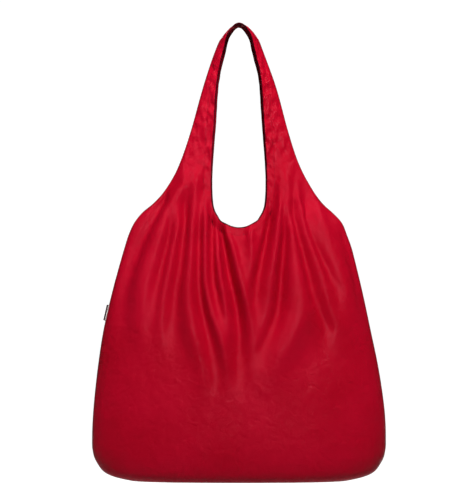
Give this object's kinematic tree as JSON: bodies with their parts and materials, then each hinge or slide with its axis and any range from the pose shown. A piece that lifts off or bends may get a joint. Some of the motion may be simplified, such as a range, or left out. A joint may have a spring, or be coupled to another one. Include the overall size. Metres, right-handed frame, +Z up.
{
  "type": "foldable tote bag",
  "caption": "Soft shoulder tote of thin glossy cloth, one wide strap loop cut in one with the body, small stow pouch sewn inside.",
  "frame": {"origin": "underside of the crown seam, where a hook or hand carries the bag", "axes": "+Z up along the bag, +X across it to the right as seen from the front, +Y from front to back"},
  "size_m": [0.46, 0.1103, 0.72],
  "materials": {
    "bag_cloth": "satin",
    "bound_seam": "matte",
    "label_ribbon": "satin",
    "elastic": "matte",
    "printed_band": "matte"
  },
  "bodies": {
    "handle": {"strap_front": "bag_cloth", "strap_back": "bag_cloth", "strap_hem_front": "bag_cloth", "strap_hem_back": "bag_cloth", "strap_seam": "bound_seam", "crown_seam": "bound_seam"},
    "bag": {"front_panel": "bag_cloth", "back_panel": "bag_cloth", "shoulder_front": "bag_cloth", "shoulder_back": "bag_cloth", "shoulder_seams": "bound_seam", "mouth_hem_front": "bag_cloth", "mouth_hem_back": "bag_cloth", "side_seam_left": "bound_seam", "side_seam_right": "bound_seam", "base_seam": "bound_seam", "corner_seam_left": "bound_seam", "corner_seam_right": "bound_seam", "label_root": "label_ribbon", "tether_root": "bag_cloth"},
    "label": {"side_label": "label_ribbon"},
    "pouch": {"pouch_front": "bag_cloth", "pouch_back": "bag_cloth", "pouch_hem": "bag_cloth", "pouch_elastic": "elastic", "pouch_seam": "bound_seam", "pouch_band": "printed_band", "pouch_tether": "bag_cloth"}
  },
  "joints": [
    {"name": "strap_fold", "type": "hinge", "parent": "handle", "child": "bag", "pos_m": [0, 0, -0.247], "axis": [1, 0, 0], "range_deg": [-140, 140], "deforming": ["shoulder_front", "shoulder_back", "shoulder_seams"]},
    {"name": "label_flip", "type": "hinge", "parent": "bag", "child": "label", "pos_m": [-0.20327, 0, -0.455], "axis": [0.2251, 0, 0.9743], "range_deg": [-60, 60], "stiffness_Nm_per_rad": 0.00002},
    {"name": "pouch_swing", "type": "hinge", "parent": "bag", "child": "pouch", "pos_m": [-0.19891, 0, -0.45544], "axis": [0, -1, 0], "range_deg": [0, 95]}
  ]
}
